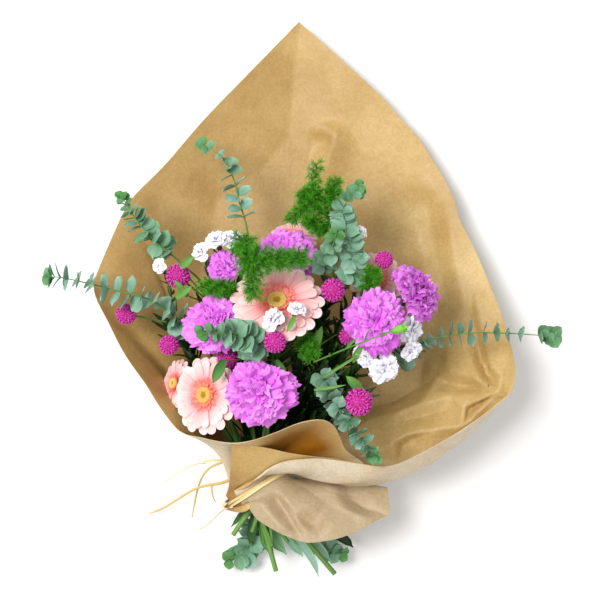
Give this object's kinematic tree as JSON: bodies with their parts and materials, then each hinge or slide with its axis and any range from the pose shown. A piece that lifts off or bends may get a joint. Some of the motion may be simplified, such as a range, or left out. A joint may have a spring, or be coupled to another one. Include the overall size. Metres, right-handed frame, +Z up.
{
  "type": "mixed flower bouquet",
  "caption": "Mixed flower bouquet with foliage in a cone of kraft paper tied with raffia, lying on its back with the blooms facing up.",
  "frame": {"origin": "under the middle of the whole bouquet, on the surface it lies on", "axes": "+Y towards the paper's tall corner, -Y towards the cut stems, +X to the right seen from above with the stems towards the viewer, +Z up"},
  "size_m": [0.5222, 0.5952, 0.202],
  "materials": {
    "kraft_paper": "matte, unbleached",
    "raffia": "dried palm fibre, satin",
    "green_stem": "satin",
    "gerbera_petal": "satin, velvety",
    "gerbera_eye": "matte, tufted",
    "carnation_petal": "matte, ruffled",
    "white_petal": "matte, ruffled",
    "gomphrena_bract": "matte, papery bracts",
    "eucalyptus_leaf": "matte, waxy bloom",
    "fern_needle": "satin",
    "green_leaf": "satin"
  },
  "bodies": {
    "root": {"wrap": "kraft_paper", "raffia": "raffia", "stems": "green_stem", "gerbera_centre": "gerbera_petal", "gerbera_left": "gerbera_petal", "gerbera_low_left": "gerbera_petal", "gerbera_back": "gerbera_petal", "gerbera_right": "gerbera_petal", "gerbera_centre_eye": "gerbera_eye", "gerbera_left_eye": "gerbera_eye", "gerbera_low_left_eye": "gerbera_eye", "gerbera_back_eye": "gerbera_eye", "gerbera_right_eye": "gerbera_eye", "carnation_front": "carnation_petal", "carnation_right_centre": "carnation_petal", "carnation_left": "carnation_petal", "carnation_top": "carnation_petal", "carnation_right": "carnation_petal", "carnation_small": "carnation_petal", "white_1": "white_petal", "white_2": "white_petal", "white_3": "white_petal", "white_4": "white_petal", "white_5": "white_petal", "white_6": "white_petal", "white_7": "white_petal", "white_8": "white_petal", "white_9": "white_petal", "white_10": "white_petal", "white_11": "white_petal", "gomphrena_1": "gomphrena_bract", "gomphrena_2": "gomphrena_bract", "gomphrena_3": "gomphrena_bract", "gomphrena_4": "gomphrena_bract", "gomphrena_5": "gomphrena_bract", "gomphrena_6": "gomphrena_bract", "gomphrena_7": "gomphrena_bract", "gomphrena_8": "gomphrena_bract", "gomphrena_9": "gomphrena_bract", "eucalyptus_left": "eucalyptus_leaf", "eucalyptus_upper_left": "eucalyptus_leaf", "eucalyptus_top": "eucalyptus_leaf", "eucalyptus_right_back": "eucalyptus_leaf", "eucalyptus_rosette": "eucalyptus_leaf", "eucalyptus_right": "eucalyptus_leaf", "eucalyptus_middle": "eucalyptus_leaf", "eucalyptus_front": "eucalyptus_leaf", "eucalyptus_low_left": "eucalyptus_leaf", "eucalyptus_low_right": "eucalyptus_leaf", "fern_top": "fern_needle", "fern_middle": "fern_needle", "fern_left": "fern_needle", "fern_inner": "fern_needle", "fern_right": "fern_needle", "bud_stem": "green_leaf"}
  },
  "joints": []
}
